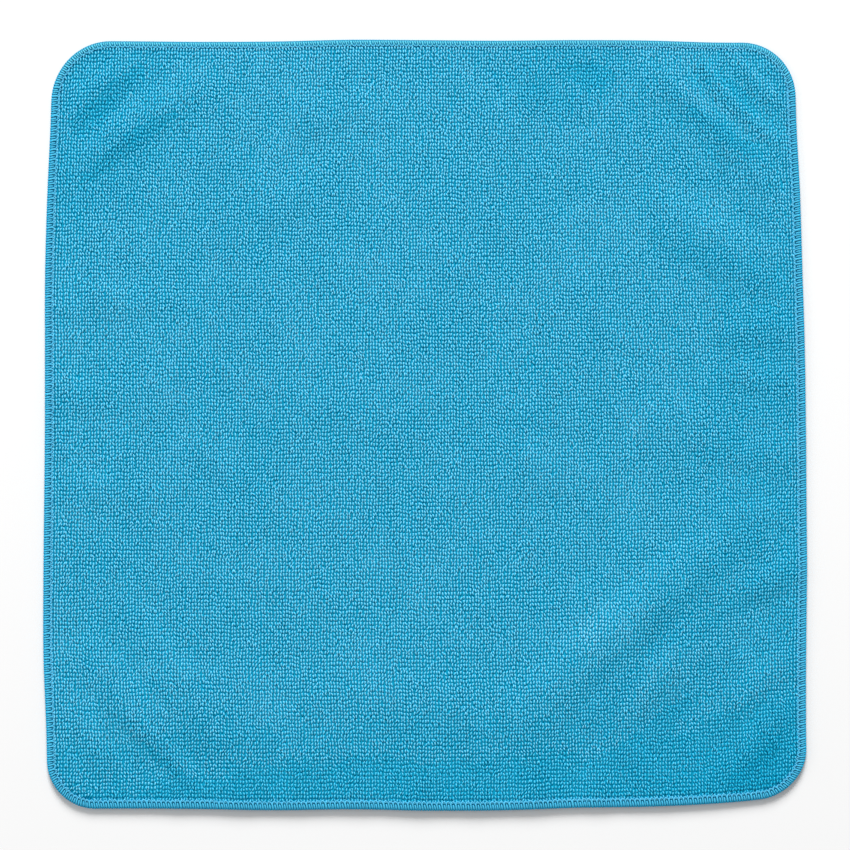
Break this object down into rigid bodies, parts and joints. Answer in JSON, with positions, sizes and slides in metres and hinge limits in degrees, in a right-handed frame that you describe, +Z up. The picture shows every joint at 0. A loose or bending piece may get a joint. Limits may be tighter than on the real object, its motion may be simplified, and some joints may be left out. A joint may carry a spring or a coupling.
{
  "type": "microfibre cloth",
  "caption": "Square microfibre cleaning cloth with rounded corners, looped terry pile and an overlocked edge, lying open with soft folds.",
  "frame": {"origin": "under the middle of the cloth, on the surface that it lies on", "axes": "+Z up, out of the cloth's face; +X to the right and +Y to the top as seen from above"},
  "size_m": [0.3967, 0.4004, 0.0054],
  "materials": {
    "terry_microfibre": "matt looped microfibre pile, bright blue",
    "overlock_thread": "soft textured polyester thread, a little lighter blue"
  },
  "bodies": {
    "root": {"terry_panel": "terry_microfibre", "overlock_edging": "overlock_thread"}
  },
  "joints": []
}
